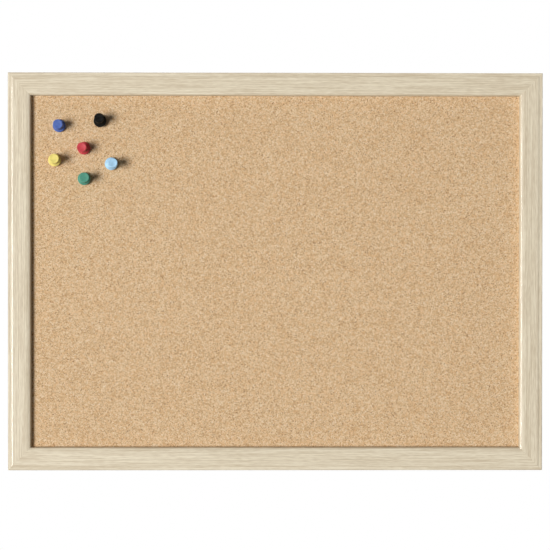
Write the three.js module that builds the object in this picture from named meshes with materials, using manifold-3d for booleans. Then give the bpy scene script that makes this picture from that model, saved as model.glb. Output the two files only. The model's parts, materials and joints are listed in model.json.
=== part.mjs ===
// A framed cork pin board, 39 x 29 cm, with six push pins in it.
// Millimetres. +X is right and +Z is up as the board hangs, and its front faces -Y.
// The origin is the centre of the board on the plane of the frame's back, which faces the wall.
import * as THREE from "three";
import { mergeVertices } from "three/addons/utils/BufferGeometryUtils.js";
import Module from "manifold-3d";

const wasm = await Module();
wasm.setup();

// Overall size
const BOARD_WIDTH = 390;
const BOARD_HEIGHT = 290;
const FRAME_DEPTH = 16;

// Rail moulding, across its face from the outer edge inwards
const RAIL_WIDTH = 16.6;
const SHOULDER_WIDTH = 2.3; // low ledge along the outer edge
const SHOULDER_DROP = 0.4; // its step below the face
const RISER_WIDTH = 1.7; // rounded rise from the ledge to the face
const ARRIS_RADIUS = 0.5; // rounding of the outermost edge
const ROLL_WIDTH = 2.8; // face rolls down towards the lip over this width
const ROLL_DROP = 0.4;
const LIP_RADIUS = 1.7; // rounding from the roll's foot to the lip's upright edge
const LIP_THICKNESS = 4.5; // from the roll's foot to the back of the lip
const REBATE_WIDTH = 5; // how far the lip covers the panel
const MITRE_GLUE_LINE = 0.05;
const ROUND_STEPS = 8; // facets in each rounded stretch of the moulding

// Panel layers, front to back
const CORK_THICKNESS = 2;
const CORE_THICKNESS = 6;
const CARD_THICKNESS = 1;
const PANEL_PLAY = 0.5; // panel edge to rebate wall
const LIP_GAP = 0.1; // cork face to the back of the lip

// Steel points that hold the panel in the rebate
const POINT_LENGTH = 14;
const POINT_BITE = 7; // length driven into the rail
const POINT_WIDTH = 6;
const POINT_TIP = 2.5; // length of the tapered end
const POINT_TIP_WIDTH = 2;
const POINT_THICKNESS = 0.5;
const POINTS_LONG_RAIL = 3;
const POINTS_SHORT_RAIL = 2;
const POINT_INSET = 54; // from the panel's corner to the first point

// Steel wedges across the mitres
const WEDGE_ARM = 5;
const WEDGE_FLARE = 1.3; // turned-out end of each arm
const WEDGE_THICKNESS = 0.6;
const WEDGE_DEPTH = 9;
const WEDGE_SINK = 0.3; // below the frame's back

// Sawtooth hangers on the top rail
const HANGER_INSET = 115; // from the frame's side to a hanger's middle
const HANGER_LENGTH = 46;
const HANGER_WIDTH = 8;
const HANGER_THICKNESS = 0.9;
const HANGER_BRIDGE = 26; // raised, toothed stretch
const HANGER_RAMP = 2.5;
const HANGER_RISE = 1.6; // room behind the bridge for a nail's head
const HANGER_END_RADIUS = 2.4;
const TOOTH_COUNT = 9;
const TOOTH_PITCH = 2.6;
const TOOTH_DEPTH = 1.7;

// Nails that hold the hangers
const NAIL_LENGTH = 9;
const NAIL_RADIUS = 0.7;
const NAIL_POINT = 2;
const NAIL_HEAD_RADIUS = 1.7;
const NAIL_HEAD_HEIGHT = 0.8;
const NAIL_INSET = 4.2; // from the hanger's end

// Push pin: a moulded head on a steel needle
const HEAD_HEIGHT = 11;
const COLLAR_RADIUS = 4.65;
const COLLAR_THICKNESS = 2.1;
const COLLAR_ROUND = 0.9;
const WAIST_RADIUS = 2.5;
const CAP_RADIUS = 3.55;
const CAP_THICKNESS = 2.3;
const CAP_ROUND = 0.5;
const DISH_RADIUS = 2.6; // shallow hollow in the cap
const DISH_DEPTH = 0.25;
const NEEDLE_RADIUS = 0.55;
const NEEDLE_LENGTH = 8; // from the head's underside to the tip
const NEEDLE_POINT = 2.4;
const NEEDLE_ROOT = 6; // length moulded into the head
const PIN_SIDES = 24;
const WAIST_STEPS = 5; // facets down the waist
const WIRE_SIDES = 10;

// Clearances
const NEEDLE_FIT = 0.05; // needle in its head
const LOOSE_FIT = 0.3; // steel in a cut or prick that was made for it
const SEAT_GAP = 0.05; // plate on the face that carries it

// Worked-out heights above the frame's back
const LIP_BACK = FRAME_DEPTH - ROLL_DROP - LIP_THICKNESS;
const CORK_FACE = LIP_BACK - LIP_GAP;
const CORE_FACE = CORK_FACE - CORK_THICKNESS;
const CARD_FACE = CORE_FACE - CORE_THICKNESS;
const PANEL_BACK = CARD_FACE - CARD_THICKNESS;
const REBATE_WALL = RAIL_WIDTH - REBATE_WIDTH; // from the outer edge
const PANEL_WIDTH = BOARD_WIDTH - 2 * (REBATE_WALL + PANEL_PLAY);
const PANEL_HEIGHT = BOARD_HEIGHT - 2 * (REBATE_WALL + PANEL_PLAY);
const BACK_MIDDLE = REBATE_WALL / 2; // middle of a rail's back, from the outer edge

// The pins: where each needle enters the cork, from the frame's opening at the left and the top,
// how far its head stands off the cork, and how far the pin leans, in degrees
const PINS = [
  { name: "blue", fromLeft: 20.4, fromTop: 22.1, off: 0.5, right: 1.4, up: 2.4, colour: 0x3d57a8 },
  { name: "black", fromLeft: 50.2, fromTop: 19, off: 2, right: 2.1, up: 8.5, colour: 0x1c1c1a },
  { name: "red", fromLeft: 38.5, fromTop: 38.4, off: 0.6, right: -2.8, up: 0.2, colour: 0xc53a45 },
  { name: "yellow", fromLeft: 16.9, fromTop: 47.3, off: 2, right: 5.5, up: 3, colour: 0xecdb78 },
  { name: "light_blue", fromLeft: 57.8, fromTop: 49.8, off: 2.2, right: 12, up: 0.6, colour: 0x9cc6e6 },
  { name: "green", fromLeft: 38.3, fromTop: 60.8, off: 1.8, right: 7.4, up: 2.5, colour: 0x4b9479 },
];

const finish = (color, roughness, metalness = 0) =>
  new THREE.MeshStandardMaterial({ color, roughness, metalness });
const railFinish = finish(0xddd0b2, 0.6);
const corkFinish = finish(0xd3b38c, 0.95);
const coreFinish = finish(0xa98c63, 0.95);
const cardFinish = finish(0xb9b1a4, 0.9);
const steelFinish = finish(0xb8babd, 0.35, 1);
const hangerFinish = finish(0xc7a45c, 0.35, 1);

// A closed geometry as a solid, for cutting
function solidOf(geometry) {
  const bare = geometry.index ? geometry.toNonIndexed() : geometry.clone();
  bare.deleteAttribute("normal");
  bare.deleteAttribute("uv");
  const merged = mergeVertices(bare, 1e-4);
  const vertProperties = new Float32Array(merged.attributes.position.array);
  const triVerts = new Uint32Array(merged.index.array);
  return new wasm.Manifold(new wasm.Mesh({ numProp: 3, vertProperties, triVerts }));
}

// A solid as a geometry
function geometryOf(body) {
  const { vertProperties, triVerts } = body.getMesh();
  const geometry = new THREE.BufferGeometry();
  geometry.setAttribute("position", new THREE.BufferAttribute(vertProperties, 3));
  geometry.setIndex(new THREE.BufferAttribute(triVerts, 1));
  geometry.computeVertexNormals();
  return geometry;
}

// A solid with each of these geometries taken away from it
const without = (body, cutters) =>
  cutters.reduce((left, cutter) => left.subtract(solidOf(cutter)), body);

const cut = (geometry, cutters) => geometryOf(without(solidOf(geometry), cutters));

// An outline in X and Z, extruded from one height above the frame's back to another
function plate(shape, low, high) {
  const options = { depth: high - low, bevelEnabled: false, curveSegments: WIRE_SIDES };
  return new THREE.ExtrudeGeometry(shape, options).rotateX(Math.PI / 2).translate(0, -low, 0);
}

// The outline of a strip of even thickness along a bent line, with extra length at its ends
function stripOutline(line, thickness, extra = 0) {
  const direction = (i) => line[i + 1].clone().sub(line[i]).normalize();
  const last = line.length - 1;
  const sides = line.map((point, i) => {
    const before = direction(Math.max(i - 1, 0));
    const after = direction(Math.min(i, last - 1));
    const along = before.clone().add(after).normalize();
    const reach = thickness / 2 / along.dot(after);
    const across = new THREE.Vector2(-along.y, along.x).multiplyScalar(reach);
    const end = i === 0 ? -extra : i === last ? extra : 0;
    const middle = point.clone().addScaledVector(along, end);
    return { left: middle.clone().add(across), right: middle.clone().sub(across) };
  });
  const right = sides.map((side) => side.right);
  const left = sides.map((side) => side.left);
  return new THREE.Shape([...right, ...left.reverse()]);
}

// A revolved solid about Y, from points of radius and height
const turned = (points, sides) =>
  new THREE.LatheGeometry(points.map(([r, h]) => new THREE.Vector2(r, h)), sides);

// Points of an arc of an ellipse, in degrees
function arc(centre, radii, from, to, steps = ROUND_STEPS) {
  return Array.from({ length: steps + 1 }, (_, i) => {
    const angle = THREE.MathUtils.degToRad(from + ((to - from) * i) / steps);
    return [centre[0] + radii[0] * Math.cos(angle), centre[1] + radii[1] * Math.sin(angle)];
  });
}

function named(name, geometry, material) {
  const mesh = new THREE.Mesh(geometry, material);
  mesh.name = name;
  return mesh;
}

// Places of a row of copies about its middle
const evenly = (count, pitch) =>
  Array.from({ length: count }, (_, i) => (i - (count - 1) / 2) * pitch);

// Section of the moulding: first number inwards from the outer edge, second forwards from the back
function mouldingSection() {
  const shoulder = FRAME_DEPTH - SHOULDER_DROP;
  const rollSlope = Math.atan2(2 * ROLL_DROP, ROLL_WIDTH);
  const rollFoot = RAIL_WIDTH - LIP_RADIUS * (1 - Math.sin(rollSlope));
  const lipCentre = FRAME_DEPTH - ROLL_DROP - LIP_RADIUS * Math.cos(rollSlope);
  const steps = Array.from({ length: ROUND_STEPS + 1 }, (_, i) => i / ROUND_STEPS);
  const arris = arc(
    [ARRIS_RADIUS, shoulder - ARRIS_RADIUS],
    [ARRIS_RADIUS, ARRIS_RADIUS],
    180,
    90,
    2,
  );
  const riser = steps.map((t) => [
    SHOULDER_WIDTH + RISER_WIDTH * t,
    shoulder + SHOULDER_DROP * (1 - (1 - t) ** 2),
  ]);
  const roll = steps.map((t) => [
    rollFoot - ROLL_WIDTH * (1 - t),
    FRAME_DEPTH - ROLL_DROP * t ** 2,
  ]);
  const lip = arc(
    [RAIL_WIDTH - LIP_RADIUS, lipCentre],
    [LIP_RADIUS, LIP_RADIUS],
    90 - THREE.MathUtils.radToDeg(rollSlope),
    0,
  );
  const back = [
    [RAIL_WIDTH, LIP_BACK],
    [REBATE_WALL, LIP_BACK],
    [REBATE_WALL, 0],
    [0, 0],
  ];
  const points = [...arris, ...riser, ...roll, ...lip.slice(1), ...back].reverse();
  return new THREE.Shape(points.map(([across, up]) => new THREE.Vector2(across, up)));
}

// A rail along X with both ends mitred, its outer edge at -Z by half the frame's span
function railBlank(length, halfSpan) {
  const blank = new THREE.ExtrudeGeometry(mouldingSection(), { depth: length, bevelEnabled: false });
  const position = blank.attributes.position;
  for (let i = 0; i < position.count; i++) {
    const setback = position.getX(i) + MITRE_GLUE_LINE / 2;
    position.setZ(i, position.getZ(i) < length / 2 ? setback : length - setback);
  }
  const inwards = new THREE.Vector3(0, 0, 1);
  const forwards = new THREE.Vector3(0, -1, 0);
  const along = new THREE.Vector3(1, 0, 0);
  const placing = new THREE.Matrix4().makeBasis(inwards, forwards, along);
  return blank.applyMatrix4(placing.setPosition(-length / 2, 0, -halfSpan));
}

// Flat steel point, tapered end towards the rail's outer edge, and the cut that it is driven into
function pointOutline(clearance) {
  const half = POINT_WIDTH / 2 + clearance;
  const tip = POINT_TIP_WIDTH / 2 + clearance;
  const inner = POINT_LENGTH - POINT_BITE;
  const outer = -POINT_BITE - clearance;
  return new THREE.Shape([
    new THREE.Vector2(-tip, outer),
    new THREE.Vector2(tip, outer),
    new THREE.Vector2(half, outer + POINT_TIP),
    new THREE.Vector2(half, inner),
    new THREE.Vector2(-half, inner),
    new THREE.Vector2(-half, outer + POINT_TIP),
  ]);
}

const POINT_TOP = PANEL_BACK - SEAT_GAP;
const POINT_BOTTOM = POINT_TOP - POINT_THICKNESS;
const pointBody = () => plate(pointOutline(0), POINT_BOTTOM, POINT_TOP);
const pointCut = () =>
  plate(pointOutline(LOOSE_FIT), POINT_BOTTOM - LOOSE_FIT, POINT_TOP + LOOSE_FIT);

// Bent steel wedge across a mitre: arms along the two rails, seen from the frame's corner
function wedgeOutline(thickness, extra) {
  const start = BACK_MIDDLE - WEDGE_THICKNESS;
  const arm = start + WEDGE_ARM;
  const flare = WEDGE_FLARE * Math.SQRT1_2;
  const line = [
    new THREE.Vector2(arm + flare, start - flare),
    new THREE.Vector2(arm, start),
    new THREE.Vector2(start, start),
    new THREE.Vector2(start, arm),
    new THREE.Vector2(start - flare, arm + flare),
  ];
  return stripOutline(line.reverse(), thickness, extra);
}

const wedgeBody = () =>
  plate(wedgeOutline(WEDGE_THICKNESS, 0), WEDGE_SINK, WEDGE_SINK + WEDGE_DEPTH);
const wedgeCut = () =>
  plate(
    wedgeOutline(WEDGE_THICKNESS + 2 * LOOSE_FIT, LOOSE_FIT),
    -1,
    WEDGE_SINK + WEDGE_DEPTH + LOOSE_FIT,
  );

// Sawtooth hanger on a rail's back: flat nailed ends and a raised bridge with teeth along one edge
function hangerBody() {
  const lowLine = SEAT_GAP + HANGER_THICKNESS / 2;
  const highLine = lowLine + HANGER_RISE;
  const foot = HANGER_BRIDGE / 2 + HANGER_RAMP;
  const line = [
    new THREE.Vector2(-HANGER_LENGTH / 2, lowLine),
    new THREE.Vector2(-foot, lowLine),
    new THREE.Vector2(-HANGER_BRIDGE / 2, highLine),
    new THREE.Vector2(HANGER_BRIDGE / 2, highLine),
    new THREE.Vector2(foot, lowLine),
    new THREE.Vector2(HANGER_LENGTH / 2, lowLine),
  ];
  const strip = new THREE.ExtrudeGeometry(stripOutline(line, HANGER_THICKNESS), {
    depth: HANGER_WIDTH,
    bevelEnabled: false,
  }).translate(0, 0, -HANGER_WIDTH / 2);
  const behind = highLine + HANGER_THICKNESS;
  const ends = plate(roundedOutline(HANGER_LENGTH, HANGER_WIDTH, HANGER_END_RADIUS), -behind, 0);
  const tip = HANGER_WIDTH / 2 + SEAT_GAP;
  const notch = new THREE.Shape([
    new THREE.Vector2(0, HANGER_WIDTH / 2 - TOOTH_DEPTH),
    new THREE.Vector2(TOOTH_PITCH / 2, tip),
    new THREE.Vector2(-TOOTH_PITCH / 2, tip),
  ]);
  const notches = evenly(TOOTH_COUNT, TOOTH_PITCH).map((x) =>
    plate(notch, -behind, 0).translate(x, 0, 0),
  );
  const holes = nailPlaces().map((x) => nailCut(x, behind));
  return geometryOf(without(solidOf(strip).intersect(solidOf(ends)), [...notches, ...holes]));
}

// A rectangle about the middle with rounded corners
function roundedOutline(length, width, radius) {
  const x = length / 2 - radius;
  const z = width / 2 - radius;
  const outline = new THREE.Shape();
  outline.absarc(x, z, radius, 0, Math.PI / 2);
  outline.absarc(-x, z, radius, Math.PI / 2, Math.PI);
  outline.absarc(-x, -z, radius, Math.PI, 1.5 * Math.PI);
  outline.absarc(x, -z, radius, 1.5 * Math.PI, 2 * Math.PI);
  return outline;
}

const nailPlaces = () => [-1, 1].map((side) => side * (HANGER_LENGTH / 2 - NAIL_INSET));

// Round hole for a hanger's nail, from behind the hanger to past the nail's point
function nailCut(x, behind) {
  const depth = NAIL_LENGTH + LOOSE_FIT;
  const hole = new THREE.CylinderGeometry(
    NAIL_RADIUS + LOOSE_FIT,
    NAIL_RADIUS + LOOSE_FIT,
    depth + behind,
    WIRE_SIDES,
  );
  return hole.translate(x, (behind - depth) / 2, 0);
}

function nailBody() {
  const seat = HANGER_THICKNESS + 2 * SEAT_GAP;
  return turned(
    [
      [0, -NAIL_LENGTH],
      [NAIL_RADIUS, NAIL_POINT - NAIL_LENGTH],
      [NAIL_RADIUS, seat],
      ...arc([0, seat], [NAIL_HEAD_RADIUS, NAIL_HEAD_HEIGHT], 0, 90, 3).slice(0, -1),
      [0, seat + NAIL_HEAD_HEIGHT],
    ],
    WIRE_SIDES,
  );
}

// One side of the frame: its rail and the points driven into it, turned to its place about Y
function frameSide(side, turn, length, halfSpan, pointCount, hangers) {
  const group = new THREE.Group();
  group.rotation.y = THREE.MathUtils.degToRad(turn);
  const panelEdge = length - 2 * (REBATE_WALL + PANEL_PLAY);
  const points = evenly(pointCount, (panelEdge - 2 * POINT_INSET) / (pointCount - 1));
  const wall = REBATE_WALL - halfSpan;
  const hangerLine = BACK_MIDDLE - halfSpan;
  const cuts = [
    wedgeCut().translate(-length / 2, 0, -halfSpan),
    wedgeCut().rotateY(-Math.PI / 2).translate(length / 2, 0, -halfSpan),
    ...points.map((x) => pointCut().translate(x, 0, wall)),
    ...hangers.flatMap((x) => nailPlaces().map((n) => nailCut(x + n, 1).translate(0, 0, hangerLine))),
  ];
  group.add(named(`frame_rail_${side}`, cut(railBlank(length, halfSpan), cuts), railFinish));
  points.forEach((x, i) => {
    const point = named(`retaining_point_${side}_${i + 1}`, pointBody(), steelFinish);
    point.position.set(x, 0, wall);
    group.add(point);
  });
  hangers.forEach((x, i) => {
    const hanger = named(`sawtooth_hanger_${i + 1}`, hangerBody(), hangerFinish);
    hanger.position.set(x, 0, hangerLine);
    group.add(hanger);
    nailPlaces().forEach((n, j) => {
      const nail = named(`hanger_nail_${i + 1}_${j + 1}`, nailBody(), hangerFinish);
      nail.position.set(x + n, 0, hangerLine);
      group.add(nail);
    });
  });
  return group;
}

// A wedge in one corner, drawn for the lower left one and turned to its place about Y
function cornerWedge(corner, turn, x, z) {
  const wedge = named(`corner_wedge_${corner}`, wedgeBody(), steelFinish);
  wedge.rotation.y = THREE.MathUtils.degToRad(turn);
  wedge.position.set(x, 0, z);
  return wedge;
}

// The line of a pin, out of the cork
const pinLine = ({ right, up }) => {
  const lean = THREE.MathUtils.degToRad;
  return new THREE.Vector3(Math.tan(lean(right)), -1, Math.tan(lean(up))).normalize();
};

// Something drawn along Y, from the cork face at 0 outwards, put in a pin's place
function atPin(pin, object) {
  const x = RAIL_WIDTH + pin.fromLeft - BOARD_WIDTH / 2;
  const z = BOARD_HEIGHT / 2 - RAIL_WIDTH - pin.fromTop;
  object.position.set(x, -CORK_FACE, z);
  object.quaternion.setFromUnitVectors(new THREE.Vector3(0, 1, 0), pinLine(pin));
  return object;
}

// The prick that a needle makes, as a cutter in the board's frame
function prick(pin) {
  const radius = NEEDLE_RADIUS + LOOSE_FIT;
  const depth = NEEDLE_LENGTH - pin.off + LOOSE_FIT;
  const above = COLLAR_RADIUS; // past the cork face at any lean
  const hole = new THREE.CylinderGeometry(radius, radius, depth + above, WIRE_SIDES);
  const place = atPin(pin, new THREE.Object3D());
  place.updateMatrix();
  return hole.translate(0, (above - depth) / 2, 0).applyMatrix4(place.matrix);
}

// Layer of the panel between two heights above the frame's back
function layer(front, thickness, pricks) {
  const sheet = new THREE.BoxGeometry(PANEL_WIDTH, thickness, PANEL_HEIGHT);
  sheet.translate(0, thickness / 2 - front, 0);
  return pricks.length ? cut(sheet, pricks) : sheet;
}

// Moulded head: collar, waist and dished cap, with a blind hole for the needle in its underside
function pinHead() {
  const capFoot = HEAD_HEIGHT - CAP_THICKNESS;
  const waistLine = new THREE.QuadraticBezierCurve(
    new THREE.Vector2(COLLAR_RADIUS - COLLAR_ROUND, COLLAR_THICKNESS),
    new THREE.Vector2(2 * WAIST_RADIUS - CAP_RADIUS, (COLLAR_THICKNESS + capFoot) / 2),
    new THREE.Vector2(CAP_RADIUS, capFoot),
  );
  const bore = NEEDLE_RADIUS + NEEDLE_FIT;
  const roof = NEEDLE_ROOT + NEEDLE_FIT;
  const underside = COLLAR_RADIUS - COLLAR_ROUND;
  const profile = [
    [0, roof],
    [bore, roof],
    [bore, 0],
    ...arc([underside, COLLAR_ROUND], [COLLAR_ROUND, COLLAR_ROUND], -90, 0, 2),
    ...arc(
      [underside, COLLAR_THICKNESS - COLLAR_ROUND],
      [COLLAR_ROUND, COLLAR_ROUND],
      0,
      90,
      2,
    ).slice(0, -1),
    ...waistLine.getPoints(WAIST_STEPS).map((p) => [p.x, p.y]),
    ...arc(
      [CAP_RADIUS - CAP_ROUND, HEAD_HEIGHT - CAP_ROUND],
      [CAP_ROUND, CAP_ROUND],
      0,
      90,
      2,
    ),
    [DISH_RADIUS, HEAD_HEIGHT - DISH_DEPTH],
    [0, HEAD_HEIGHT - DISH_DEPTH],
  ];
  return turned(profile, PIN_SIDES);
}

function pinNeedle() {
  return turned(
    [
      [0, -NEEDLE_LENGTH],
      [NEEDLE_RADIUS, NEEDLE_POINT - NEEDLE_LENGTH],
      [NEEDLE_RADIUS, NEEDLE_ROOT],
      [0, NEEDLE_ROOT],
    ],
    WIRE_SIDES,
  );
}

function pushPin(pin) {
  const group = atPin(pin, new THREE.Group());
  const head = named(`pin_${pin.name}_head`, pinHead(), finish(pin.colour, 0.4));
  const needle = named(`pin_${pin.name}_needle`, pinNeedle(), steelFinish);
  head.position.y = pin.off;
  needle.position.y = pin.off;
  return group.add(head, needle);
}

const board = new THREE.Group();
board.name = "pin_board";

const halfWidth = BOARD_WIDTH / 2;
const halfHeight = BOARD_HEIGHT / 2;
const hangerPlaces = [HANGER_INSET - halfWidth, halfWidth - HANGER_INSET];
board.add(
  frameSide("bottom", 0, BOARD_WIDTH, halfHeight, POINTS_LONG_RAIL, []),
  frameSide("left", 90, BOARD_HEIGHT, halfWidth, POINTS_SHORT_RAIL, []),
  frameSide("top", 180, BOARD_WIDTH, halfHeight, POINTS_LONG_RAIL, hangerPlaces),
  frameSide("right", -90, BOARD_HEIGHT, halfWidth, POINTS_SHORT_RAIL, []),
);
board.add(
  cornerWedge("bottom_left", 0, -halfWidth, -halfHeight),
  cornerWedge("top_left", 90, -halfWidth, halfHeight),
  cornerWedge("top_right", 180, halfWidth, halfHeight),
  cornerWedge("bottom_right", -90, halfWidth, -halfHeight),
);

const pricks = PINS.map(prick);
board.add(
  named("cork_sheet", layer(CORK_FACE, CORK_THICKNESS, pricks), corkFinish),
  named("softboard_core", layer(CORE_FACE, CORE_THICKNESS, pricks), coreFinish),
  named("backing_card", layer(CARD_FACE, CARD_THICKNESS, []), cardFinish),
);
PINS.forEach((pin) => board.add(pushPin(pin)));

export default board;
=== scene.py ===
"""Looks of the framed cork pin board: foil-wrapped rails, pressed cork, moulded pins and steel."""

import json
import math

import bmesh
import bpy
from mathutils import Matrix, Vector


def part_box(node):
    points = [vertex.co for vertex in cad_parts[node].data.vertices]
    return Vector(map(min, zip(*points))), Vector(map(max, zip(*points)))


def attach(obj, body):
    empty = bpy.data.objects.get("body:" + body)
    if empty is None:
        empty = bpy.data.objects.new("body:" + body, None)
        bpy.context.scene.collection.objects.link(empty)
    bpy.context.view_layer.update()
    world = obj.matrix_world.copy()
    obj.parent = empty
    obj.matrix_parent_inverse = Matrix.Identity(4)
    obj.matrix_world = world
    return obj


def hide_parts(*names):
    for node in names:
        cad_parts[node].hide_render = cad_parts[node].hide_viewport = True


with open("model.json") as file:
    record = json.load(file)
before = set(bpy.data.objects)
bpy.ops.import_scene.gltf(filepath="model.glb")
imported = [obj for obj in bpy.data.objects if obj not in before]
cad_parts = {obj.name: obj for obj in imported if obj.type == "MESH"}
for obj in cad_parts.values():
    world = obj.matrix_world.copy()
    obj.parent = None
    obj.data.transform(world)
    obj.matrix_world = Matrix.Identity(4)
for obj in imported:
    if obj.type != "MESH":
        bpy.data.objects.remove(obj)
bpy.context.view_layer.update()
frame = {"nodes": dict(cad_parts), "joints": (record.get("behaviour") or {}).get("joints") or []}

MM = 0.001

# Sizes of the solids that the looks follow
CORK_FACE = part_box("cork_sheet")[0].y
HALF_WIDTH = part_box("frame_rail_bottom")[1].x
HALF_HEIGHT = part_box("frame_rail_left")[1].z
LIP_BACK = 11.1 * MM
PRICK_RADIUS = 0.85 * MM


class Wire:
    """A socket in a node tree that can be reckoned with."""

    def __init__(self, tree, socket=None):
        self.tree = tree
        self.socket = socket

    def make(self, kind, feeds=(), out=0, **settings):
        """Adds a node, feeds its inputs by name or place, and gives one of its outputs."""
        node = self.tree.nodes.new(kind)
        for key, value in settings.items():
            setattr(node, key, value)
        for key, value in dict(feeds).items():
            if isinstance(value, Wire):
                self.tree.links.new(value.socket, node.inputs[key])
            else:
                node.inputs[key].default_value = value
        return Wire(self.tree, node.outputs[out])

    def math(self, operation, *others):
        return self.make("ShaderNodeMath", enumerate((self, *others)), operation=operation)

    def __add__(self, other):
        return self.math("ADD", other)

    def __sub__(self, other):
        return self.math("SUBTRACT", other)

    def __mul__(self, other):
        return self.math("MULTIPLY", other)

    def __rsub__(self, other):
        return self * -1.0 + other

    __radd__ = __add__
    __rmul__ = __mul__

    def stretched(self, scale):
        """This vector times a scale on each axis."""
        return self.make("ShaderNodeVectorMath", {0: self, 1: scale}, operation="MULTIPLY")

    def between(self, low, high):
        """0 below low, 1 above high, and smooth from one to the other."""
        feeds = {"Value": self, "From Min": low, "From Max": high}
        return self.make("ShaderNodeMapRange", feeds, interpolation_type="SMOOTHSTEP")

    def blend(self, first, second):
        """The first colour where this is 0 and the second where it is 1."""
        first, second = (c if isinstance(c, Wire) else (*c, 1.0) for c in (first, second))
        # Among the Mix node's sockets, 6 and 7 are its colours, and output 2 is their blend
        feeds = {0: self, 6: first, 7: second}
        return self.make("ShaderNodeMix", feeds, out=2, data_type="RGBA")

    def noise(self, scale, detail=2.0, rough=0.5):
        feeds = {"Vector": self, "Scale": scale, "Detail": detail, "Roughness": rough}
        return self.make("ShaderNodeTexNoise", feeds)

    def cells(self, scale, out="Distance", **settings):
        feeds = {"Vector": self, "Scale": scale}
        return self.make("ShaderNodeTexVoronoi", feeds, out=out, **settings)

    def bump(self, depth, strength=1.0):
        """A normal from this as the height."""
        feeds = {"Height": self, "Distance": depth, "Strength": strength}
        return self.make("ShaderNodeBump", feeds)


def finish(name, paint, **constants):
    """A material: paint gives what varies over it, and its shader holds the other values."""
    material = bpy.data.materials.new(name)
    material.use_nodes = True
    tree = material.node_tree
    shader = tree.nodes["Principled BSDF"]
    for key, value in constants.items():
        shader.inputs[key.replace("_", " ")].default_value = value
    place = Wire(tree).make("ShaderNodeTexCoord", out="Object")
    for key, wire in paint(place).items():
        tree.links.new(wire.socket, shader.inputs[key])
    return material


# Foil on the rails; its lacquer thins out down the sides, between two heights above the back
FOIL_DARK = (0.550, 0.453, 0.314)
FOIL_PALE = (0.779, 0.696, 0.531)
FOIL_PORE = (0.40, 0.31, 0.20)
LACQUER_HEIGHTS = (12.5 * MM, 14.5 * MM)
LACQUER_FACE = 0.32
LACQUER_SIDES = 0.02


def foil(name, along):
    """Pale whitewashed wood-look foil with its grain along one axis."""

    def paint(place):
        def grain(length, width, detail=1.0):
            scale = [1 / (width * MM)] * 3
            scale[along] = 1 / (length * MM)
            return place.stretched(scale).noise(1.0, detail)

        fine = grain(42, 0.43)
        flecks = grain(6, 0.43)
        pores = grain(40, 0.5)
        bands = grain(140, 4.0, detail=2.0)
        tone = fine * 0.55 + flecks * 0.33 + bands * 0.12
        colour = tone.between(0.34, 0.66).blend(FOIL_DARK, FOIL_PALE)
        dark = pores.between(0.62, 0.78) * 0.4
        height = place.make("ShaderNodeSeparateXYZ", {0: place}, out="Y") * -1.0
        lacquer = height.between(*LACQUER_HEIGHTS) * (LACQUER_FACE - LACQUER_SIDES)
        return {
            "Base Color": dark.blend(colour, FOIL_PORE),
            "Roughness": fine.between(0.2, 0.8) * 0.08 + 0.36,
            "Coat Weight": lacquer + LACQUER_SIDES,
            "Normal": (fine - dark).bump(0.03 * MM, 0.5),
        }

    return finish(name, paint, Specular_IOR_Level=0.25, Coat_Roughness=0.08)


# Raw fibreboard of the rails
FIBREBOARD_DARK = (0.30, 0.19, 0.105)
FIBREBOARD_PALE = (0.46, 0.32, 0.19)


def fibreboard_paint(place):
    fibres = place.stretched((900, 900, 900)).noise(1.0, 3.0)
    cloud = place.noise(60.0, 3.0)
    tone = fibres * 0.7 + cloud * 0.3
    return {
        "Base Color": tone.between(0.3, 0.7).blend(FIBREBOARD_DARK, FIBREBOARD_PALE),
        "Roughness": tone * 0.15 + 0.78,
        "Normal": fibres.bump(0.08 * MM),
    }


# Cork: granules per metre, and their colours
GRANULES = 1350.0
CORK_DARK = (0.505, 0.293, 0.130)
CORK_PALE = (0.797, 0.62, 0.405)
CORK_WARM = (0.74, 0.46, 0.235)
CORK_BARK = (0.26, 0.125, 0.048)
CORK_FLECK = (0.84, 0.71, 0.53)


def cork_paint(place):
    """Fine pressed granules with dark bark specks and light flecks."""
    granule = place.cells(GRANULES, out="Color")
    shade, fleck = (
        granule.make("ShaderNodeSeparateColor", {0: granule}, out=out) for out in ("Red", "Green")
    )
    body = place.noise(2600.0, 2.0)
    mottle = place.noise(220.0, 2.0) - 0.5
    tone = shade * 0.45 + body * 0.5 + mottle * 0.2 + 0.02
    warmth = place.noise(600.0, 1.0).between(0.45, 0.65) * 0.35
    specks = place.noise(1600.0, 1.0).between(0.62, 0.70)
    flecks = fleck.between(0.88, 0.96) * 0.5
    colour = tone.between(0.1, 0.9).blend(CORK_DARK, CORK_PALE)
    colour = warmth.blend(colour, CORK_WARM)
    colour = specks.blend(colour, CORK_BARK)
    seam = place.cells(GRANULES, feature="DISTANCE_TO_EDGE")
    relief = seam.between(0.0, 0.14) * 0.6 + body * 0.6 - specks * 0.4
    return {
        "Base Color": flecks.blend(colour, CORK_FLECK),
        "Roughness": tone * 0.1 + 0.82,
        "Normal": relief.bump(0.07 * MM),
    }


# Grey card on the back, with dark fibres in it
CARD_DARK = (0.39, 0.345, 0.285)
CARD_PALE = (0.50, 0.445, 0.375)
CARD_FLECK = (0.20, 0.16, 0.12)


def card_paint(place):
    fibres = place.stretched((1100, 1100, 500)).noise(1.0, 3.0, 0.6)
    cloud = place.noise(25.0, 3.0)
    tone = fibres * 0.75 + cloud * 0.25
    flecks = place.noise(650.0, 0.0).between(0.74, 0.80) * 0.5
    colour = tone.between(0.3, 0.7).blend(CARD_DARK, CARD_PALE)
    return {
        "Base Color": flecks.blend(colour, CARD_FLECK),
        "Roughness": tone * 0.12 + 0.76,
        "Normal": fibres.bump(0.04 * MM),
    }


# Soft fibreboard between cork and card
SOFTBOARD_DARK = (0.27, 0.17, 0.08)
SOFTBOARD_PALE = (0.50, 0.36, 0.20)


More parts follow.
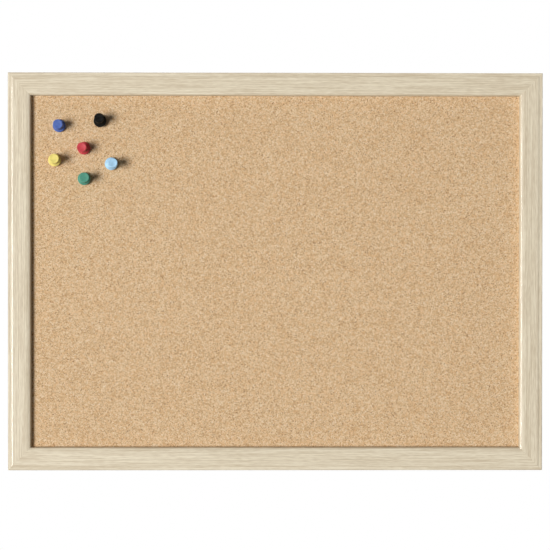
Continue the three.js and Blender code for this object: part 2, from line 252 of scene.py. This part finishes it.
def softboard_paint(place):
    fibres = place.stretched((350, 1400, 350)).noise(1.0, 4.0, 0.7)
    return {
        "Base Color": fibres.between(0.3, 0.7).blend(SOFTBOARD_DARK, SOFTBOARD_PALE),
        "Roughness": fibres * 0.1 + 0.85,
        "Normal": fibres.bump(0.15 * MM),
    }


# Plastic of the pins' heads; the black one shines least
PIN_COLOURS = {
    "blue": (0.086, 0.148, 0.428),
    "black": (0.006, 0.006, 0.005),
    "red": (0.540, 0.048, 0.062),
    "yellow": (0.890, 0.745, 0.212),
    "light_blue": (0.440, 0.710, 0.940),
    "green": (0.090, 0.310, 0.220),
}
PIN_SHINE = 0.14
BLACK_SHINE = 0.03


def moulded(colour):
    """Satin moulded plastic with a faint cloud of flow and handling."""

    def paint(place):
        flow = place.noise(420.0, 3.0)
        haze = place.noise(1900.0, 2.0)
        deep = [c * 0.86 for c in PIN_COLOURS[colour]]
        pale = [min(1.0, c * 1.06 + 0.012) for c in PIN_COLOURS[colour]]
        return {
            "Base Color": flow.between(0.25, 0.75).blend(deep, pale),
            "Roughness": haze * 0.16 + 0.34,
            "Normal": haze.bump(0.012 * MM),
        }

    shine = BLACK_SHINE if colour == "black" else PIN_SHINE
    return finish(f"moulded_{colour}", paint, Specular_IOR_Level=shine)


def metal(name, dark, light, rough):
    """Drawn and stamped metal: fine scratches, dull patches and small spots."""

    def paint(place):
        scratch = place.stretched((260, 2600, 2600)).noise(1.0, 3.0)
        patch = place.noise(330.0, 3.0)
        spots = place.noise(1500.0, 1.0).between(0.70, 0.78) * 0.5
        tone = scratch * 0.5 + patch * 0.5
        colour = tone.between(0.3, 0.7).blend(dark, light)
        return {
            "Base Color": spots.blend(colour, [c * 0.5 for c in dark]),
            "Roughness": tone * 0.22 + rough + spots * 0.2,
            "Normal": scratch.bump(0.01 * MM),
        }

    return finish(name, paint, Metallic=1.0)


foil_across = foil("foil_grain_across", 0)
foil_upright = foil("foil_grain_upright", 2)
fibreboard = finish("raw_fibreboard", fibreboard_paint, Specular_IOR_Level=0.2)
cork = finish("pressed_cork", cork_paint, Specular_IOR_Level=0.15)
card = finish("grey_card", card_paint, Specular_IOR_Level=0.25)
softboard = finish("soft_fibreboard", softboard_paint, Specular_IOR_Level=0.15)
steel = metal("bright_steel", (0.40, 0.41, 0.42), (0.66, 0.67, 0.68), 0.24)
plated = metal("brass_plate", (0.50, 0.36, 0.14), (0.78, 0.60, 0.28), 0.22)


def linked(name, data):
    """A new object in the scene."""
    obj = bpy.data.objects.new(name, data)
    bpy.context.scene.collection.objects.link(obj)
    return obj


def piece(name, mesh, body, nodes, materials):
    """A finished piece of the board, in place of the solids it stands for."""
    obj = linked(name, mesh)
    for material in materials:
        mesh.materials.append(material)
    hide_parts(*nodes)
    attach(obj, body)


def applied(obj):
    """The object's mesh with its modifiers applied. The object itself goes."""
    graph = bpy.context.evaluated_depsgraph_get()
    mesh = bpy.data.meshes.new_from_object(obj.evaluated_get(graph))
    bpy.data.objects.remove(obj)
    return mesh


def settled(mesh, *modifiers):
    """The mesh with modifiers applied, each a type and its settings."""
    obj = linked("settling", mesh)
    for kind, settings in modifiers:
        modifier = obj.modifiers.new(kind.lower(), kind)
        for key, value in settings.items():
            setattr(modifier, key, value)
    return applied(obj)


def meshed(shape, name):
    mesh = bpy.data.meshes.new(name)
    shape.to_mesh(mesh)
    shape.free()
    return mesh


def smooth(mesh, degrees):
    """The mesh smoothly shaded, apart from edges sharper than an angle."""
    mesh.polygons.foreach_set("use_smooth", [True] * len(mesh.polygons))
    mesh.set_sharp_from_angle(angle=math.radians(degrees))
    return mesh


SAME_PLACE = 1e-6
SAME_FLAT = math.radians(0.4)
BROKEN_FROM = math.radians(40)
NO_CREASE = 180


def softened(node, name, width, crease=NO_CREASE):
    """A solid's own shape with its sharp edges broken by a small bevel and its creases kept."""
    shape = bmesh.new()
    shape.from_mesh(frame["nodes"][node].data)
    bmesh.ops.remove_doubles(shape, verts=shape.verts, dist=SAME_PLACE)
    bmesh.ops.dissolve_limit(
        shape, angle_limit=SAME_FLAT, verts=shape.verts, edges=shape.edges
    )
    mesh = meshed(shape, name)
    if mesh.has_custom_normals:
        mesh.attributes.remove(mesh.attributes["custom_normal"])
    bevel = {"width": width, "segments": 2, "limit_method": "ANGLE", "angle_limit": BROKEN_FROM}
    even = {"weight": 100, "keep_sharp": True}
    mesh = settled(smooth(mesh, crease), ("BEVEL", bevel), ("WEIGHTED_NORMAL", even))
    mesh.name = name
    return mesh


# Frame rails, drawn a little longer so that the glue lines in the mitres look closed
RAIL_EDGE = 0.02 * MM
RAIL_CREASE = 20
MITRE_CLOSING = 0.028 * MM
# Below this height above the back, and deeper than this from the outer edge, a rail is raw
FOIL_LOWEST = LIP_BACK - 0.1 * MM
FOIL_DEEPEST = 0.4 * MM


def rail(side, wrap, half_length, axis, inwards):
    """Foil on the face, lip and outer edge, raw fibreboard behind and in the cuts."""
    node = f"frame_rail_{side}"
    name = f"rail_{side}"
    mesh = softened(node, name, RAIL_EDGE, RAIL_CREASE)
    mesh.transform(Matrix.Scale(1 + MITRE_CLOSING / half_length, 4, axis))
    for face in mesh.polygons:
        hidden = -face.center.y < FOIL_LOWEST and inwards(face.center) > FOIL_DEEPEST
        face.material_index = int(hidden or face.normal.y > 0.5)
    piece(name, mesh, "board", [node], [wrap, fibreboard])


across = (foil_across, HALF_WIDTH, Vector((1, 0, 0)))
upright = (foil_upright, HALF_HEIGHT, Vector((0, 0, 1)))
rail("top", *across, lambda spot: HALF_HEIGHT - spot.z)
rail("bottom", *across, lambda spot: HALF_HEIGHT + spot.z)
rail("left", *upright, lambda spot: HALF_WIDTH + spot.x)
rail("right", *upright, lambda spot: HALF_WIDTH - spot.x)


ON_AXIS = 1e-9
TURNED_CREASE = 40


def turned(profile, sides):
    """A revolved mesh about +Z from points of radius and height, first and last on the axis."""
    shape = bmesh.new()
    turns = [2 * math.pi / sides * i for i in range(sides)]
    rings = []
    for radius, height in profile:
        around = turns if radius > ON_AXIS else turns[:1]
        ring = [(radius * math.cos(turn), radius * math.sin(turn), height) for turn in around]
        rings.append([shape.verts.new(place) for place in ring])
    for low, high in zip(rings, rings[1:]):
        for i in range(sides):
            j = (i + 1) % sides
            spots = ((low, i), (low, j), (high, j), (high, i))
            corners = [ring[at % len(ring)] for ring, at in spots]
            shape.faces.new(list(dict.fromkeys(corners)))
    bmesh.ops.recalc_face_normals(shape, faces=shape.faces)
    return meshed(shape, "turned")


def arc(centre, radii, start, end, steps):
    """Points of an ellipse's arc, in degrees."""
    angles = [math.radians(start + (end - start) * i / steps) for i in range(steps + 1)]
    (x, y), (wide, high) = centre, radii
    return [(x + wide * math.cos(a), y + high * math.sin(a)) for a in angles]


def curve(points, steps):
    """Points of a quadratic curve with three handles."""
    (ax, ay), (bx, by), (cx, cy) = points
    return [
        (
            (1 - t) ** 2 * ax + 2 * t * (1 - t) * bx + t * t * cx,
            (1 - t) ** 2 * ay + 2 * t * (1 - t) * by + t * t * cy,
        )
        for t in (i / steps for i in range(steps + 1))
    ]


def scaled(points):
    """Points in millimetres, in metres."""
    return [(r * MM, h * MM) for r, h in points]


def stood(mesh, foot, line):
    """The mesh with its +Z along a line from a foot."""
    turn = line.to_track_quat("Z", "Y").to_matrix().to_4x4()
    mesh.transform(Matrix.Translation(foot) @ turn)
    return mesh


# Push pin in millimetres: collar, waist and faintly dished cap, with the needle's hole below
HEAD_PROFILE = scaled(
    [(0, 6.05), (0.6, 6.05), (0.6, 0.15), (0.75, 0)]
    + [(1.7, 0), (1.95, 0.12), (3.3, 0.12)]
    + arc((3.75, 0.9), (0.9, 0.9), -80, 0, 8)
    + arc((3.75, 1.2), (0.9, 0.9), 0, 70, 8)
    + curve([(3.75, 2.12), (1.45, 5.4), (3.5, 8.62)], 18)
    + arc((3.25, 8.95), (0.3, 0.25), -50, 0, 4)
    + arc((3.05, 10.5), (0.5, 0.5), 0, 90, 8)
    + curve([(2.9, 11), (2.4, 10.97), (1.9, 10.86)], 5)
    + [(0.9, 10.82), (0, 10.82)]
)
NEEDLE_PROFILE = scaled(
    [(0, -8), (0.06, -7.85), (0.3, -6.75), (0.5, -5.9), (0.55, -5.6), (0.55, 6), (0, 6)]
)
HEAD_SIDES = 72
NEEDLE_SIDES = 32


def stuck(colour, axis):
    """Where a pin's needle enters the cork, its line, and how far along it the head begins."""
    line = Vector(axis).normalized()
    needle = frame["nodes"][f"pin_{colour}_needle"].data
    head = frame["nodes"][f"pin_{colour}_head"].data
    tip = min((v.co for v in needle.vertices), key=lambda co: co.dot(line))
    foot = tip + line * ((CORK_FACE - tip.y) / line.y)
    underside = min((v.co - foot).dot(line) for v in head.vertices)
    return foot, line, underside


def pin(colour, foot, line, underside):
    body = f"pin_{colour}"
    seat = foot + line * underside
    head = stood(smooth(turned(HEAD_PROFILE, HEAD_SIDES), TURNED_CREASE), seat, line)
    piece(f"head_{colour}", head, body, [f"{body}_head"], [moulded(colour)])
    shank = stood(smooth(turned(NEEDLE_PROFILE, NEEDLE_SIDES), TURNED_CREASE), seat, line)
    piece(f"needle_{colour}", shank, body, [f"{body}_needle"], [steel])


pins = {}
for joint in frame["joints"]:
    colour = joint["child"].removeprefix("pin_")
    pins[colour] = stuck(colour, joint["axis"])
for colour, where in pins.items():
    pin(colour, *where)


def granulated(material, **sizes):
    """A sheet in X and Y, facing +Z, with the uneven face of pressed granules."""
    tree = bpy.data.node_groups.new("granulated_sheet", "GeometryNodeTree")
    tree.interface.new_socket("Geometry", in_out="OUTPUT", socket_type="NodeSocketGeometry")
    kinds = {int: "NodeSocketInt", float: "NodeSocketFloat"}
    sockets = {
        label: tree.interface.new_socket(label, in_out="INPUT", socket_type=kinds[type(value)])
        for label, value in sizes.items()
    }
    entry = tree.nodes.new("NodeGroupInput")
    given = {label: Wire(tree, entry.outputs[label]) for label in sizes}
    wire = Wire(tree)
    grid = {
        "Size X": given["Width"],
        "Size Y": given["Height"],
        "Vertices X": given["Columns"],
        "Vertices Y": given["Rows"],
    }
    sheet = wire.make("GeometryNodeMeshGrid", grid, out="Mesh")
    place = wire.make("GeometryNodeInputPosition")
    shifted = wire.make("ShaderNodeVectorMath", {0: place, 1: given["Seed"]}, operation="ADD")
    scale = given["Granule"].math("POWER", -1.0)
    dimples = shifted.cells(scale, feature="SMOOTH_F1")
    swell = shifted.noise(scale * 0.12, 2.0)
    depth = (dimples * 0.7 + swell * 0.6) * given["Relief"]
    sunk = wire.make("ShaderNodeCombineXYZ", {"Z": depth * -1.0})
    uneven = wire.make("GeometryNodeSetPosition", {"Geometry": sheet, "Offset": sunk})
    plain = wire.make("GeometryNodeRealizeInstances", {"Geometry": uneven})
    coated = wire.make("GeometryNodeSetMaterial", {"Geometry": plain, "Material": material})
    leave = tree.nodes.new("NodeGroupOutput")
    tree.links.new(coated.socket, leave.inputs["Geometry"])

    obj = linked("granulating", bpy.data.meshes.new("granulating"))
    modifier = obj.modifiers.new("granules", "NODES")
    modifier.node_group = tree
    for label, value in sizes.items():
        modifier[sockets[label].identifier] = value
    return applied(obj)


def backed(mesh, thickness):
    """The sheet closed by straight sides and a flat back."""
    shape = bmesh.new()
    shape.from_mesh(mesh)
    rim = [edge for edge in shape.edges if edge.is_boundary]
    made = bmesh.ops.extrude_edge_only(shape, edges=rim)["geom"]
    for vert in (g for g in made if isinstance(g, bmesh.types.BMVert)):
        vert.co.z = -thickness
    bmesh.ops.holes_fill(shape, edges=[e for e in shape.edges if e.is_boundary], sides=0)
    bmesh.ops.recalc_face_normals(shape, faces=shape.faces)
    shape.to_mesh(mesh)
    shape.free()
    return mesh


# Cork sheet: granulated, closed, and pricked where the needles go in
PRICK_REACH = 4 * MM
PRICK_SIDES = 20
CORK_CREASE = 50


def pricked(sheet):
    """The sheet with a hole where each needle goes in."""
    ends = (-PRICK_REACH, PRICK_REACH)
    profile = [(0, ends[0]), *((PRICK_RADIUS, end) for end in ends), (0, ends[1])]
    pricks = bmesh.new()
    for foot, line, _ in pins.values():
        pricks.from_mesh(stood(turned(profile, PRICK_SIDES), foot, line))
    punch = linked("pricks", meshed(pricks, "pricks"))
    cut = {"object": punch, "operation": "DIFFERENCE", "solver": "MANIFOLD"}
    sheet = settled(sheet, ("BOOLEAN", cut))
    bpy.data.objects.remove(punch)
    return sheet


def cork_face():
    low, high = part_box("cork_sheet")
    sheet = granulated(
        cork,
        Width=high.x - low.x,
        Height=high.z - low.z,
        Columns=330,
        Rows=240,
        Relief=0.11 * MM,
        Granule=1.6 * MM,
        Seed=3.0,
    )
    sheet = backed(sheet, high.y - low.y)
    sheet.transform(
        Matrix.Translation((0, low.y, 0)) @ Matrix.Rotation(math.radians(90), 4, "X")
    )
    sheet = smooth(pricked(sheet), CORK_CREASE)
    piece("cork_face", sheet, "board", ["cork_sheet"], [])


cork_face()

# Layers behind the cork
CORE_EDGE = 0.2 * MM
CARD_EDGE = 0.15 * MM
core = softened("softboard_core", "core_board", CORE_EDGE)
piece("core_board", core, "board", ["softboard_core"], [softboard])
back = softened("backing_card", "back_card", CARD_EDGE)
piece("back_card", back, "board", ["backing_card"], [card])

# Steel and plated hardware
STEEL_EDGE = 0.08 * MM
HANGER_EDGE = 0.1 * MM
NAIL_POINT = 2 * MM
NAIL_SHANK = 0.7 * MM
NAIL_SEAT = 1.6 * MM
NAIL_DOME = (1.7 * MM, 0.8 * MM)
NAIL_SIDES = 28


def hanger_nail(node):
    """A nail along +Y with a point and a low domed head."""
    low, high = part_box(node)
    seat = high.y - NAIL_DOME[1]
    points = [(0, low.y), (NAIL_SHANK, low.y + NAIL_POINT), (NAIL_SHANK, seat), (NAIL_SEAT, seat)]
    points += arc((0, seat), NAIL_DOME, 4, 90, 10)
    nail = smooth(turned(points, NAIL_SIDES), TURNED_CREASE)
    middle = (low + high) / 2
    return stood(nail, Vector((middle.x, 0, middle.z)), Vector((0, 1, 0)))


for node in frame["nodes"]:
    if node.startswith(("retaining_point", "corner_wedge")):
        name = node.replace("retaining_", "").replace("corner_", "")
        piece(name, softened(node, name, STEEL_EDGE), "board", [node], [steel])
    if node.startswith("sawtooth"):
        name = node.replace("sawtooth_", "")
        piece(name, softened(node, name, HANGER_EDGE), "board", [node], [plated])
    if node.startswith("hanger_nail"):
        name = node.replace("hanger_", "")
        piece(name, hanger_nail(node), "board", [node], [plated])

# Camera, square to the board within a degree
CAMERA_PLACE = (-0.01036, -1.15, 0.00654)
YAW, PITCH, ROLL = 0.008785, -0.007909, 0.000646
camera = linked("camera", bpy.data.cameras.new("camera"))
camera.data.sensor_width = 36
camera.data.lens = 101.8
camera.data.clip_start = 0.01
ahead = Vector(
    (math.sin(YAW) * math.cos(PITCH), math.cos(YAW) * math.cos(PITCH), math.sin(PITCH))
)
camera.matrix_world = (
    Matrix.Translation(CAMERA_PLACE)
    @ ahead.to_track_quat("-Z", "Y").to_matrix().to_4x4()
    @ Matrix.Rotation(ROLL, 4, "Z")
)
bpy.context.scene.camera = camera


# A broad lamp far off to the left in front, one on the right above and behind, and a dim room
def softbox(name, towards, distance, size, energy):
    lamp = linked(name, bpy.data.lights.new(name, "AREA"))
    lamp.data.shape = "DISK"
    lamp.data.size = size
    lamp.data.energy = energy
    direction = Vector(towards).normalized()
    lamp.location = direction * distance
    lamp.rotation_euler = direction.to_track_quat("Z", "Y").to_euler()


softbox("front_lamp", (-0.66, -1.0, -0.11), distance=7.5, size=3.5, energy=643)
softbox("rear_lamp", (0.6, 0.7, 0.85), distance=5.0, size=2.4, energy=205)

ROOM_LIGHT = 0.09
world = bpy.data.worlds.new("room")
bpy.context.scene.world = world
world.use_nodes = True
seen, mirrored, through = (
    Wire(world.node_tree).make("ShaderNodeLightPath", out=f"Is {kind} Ray")
    for kind in ("Camera", "Glossy", "Transmission")
)
white = seen.math("MAXIMUM", mirrored).math("MAXIMUM", through)
glow = white * (1 - ROOM_LIGHT) + ROOM_LIGHT
backdrop = world.node_tree.nodes["Background"]
backdrop.inputs["Color"].default_value = (1, 1, 1, 1)
world.node_tree.links.new(glow.socket, backdrop.inputs["Strength"])

# Floor, well below the board
FLOOR_HALF = 1.6
FLOOR_DROP = 0.8
FADE_STARTS = 0.8
FADE_ENDS = 1.5


def grey(level):
    return (level, level, level)


def floor_paint(place):
    """Pale paint that fades to the room's white and throws little light back on the board."""
    seen = place.make("ShaderNodeLightPath", out="Is Camera Ray")
    pale = place.noise(8.0).blend(grey(0.86), grey(0.89))
    flat = place.stretched((1, 1, 0))
    reach = flat.make("ShaderNodeVectorMath", {0: flat}, out="Value", operation="LENGTH")
    glow = reach.between(FADE_STARTS, FADE_ENDS).blend(grey(0.45), grey(0.85))
    return {
        "Base Color": seen.blend(grey(0.15), pale),
        "Emission Color": seen.blend(grey(0.0), glow),
    }


square = [(-1, -1), (1, -1), (1, 1), (-1, 1)]
floor_corners = [(x * FLOOR_HALF, y * FLOOR_HALF, -FLOOR_DROP) for x, y in square]
floor_mesh = bpy.data.meshes.new("floor")
floor_mesh.from_pydata(floor_corners, [], [(0, 1, 2, 3)])
floor_mesh.materials.append(
    finish("pale_floor", floor_paint, Roughness=0.8, Emission_Strength=1.0)
)
floor = linked("floor", floor_mesh)

bpy.context.scene.view_settings.view_transform = "Standard"
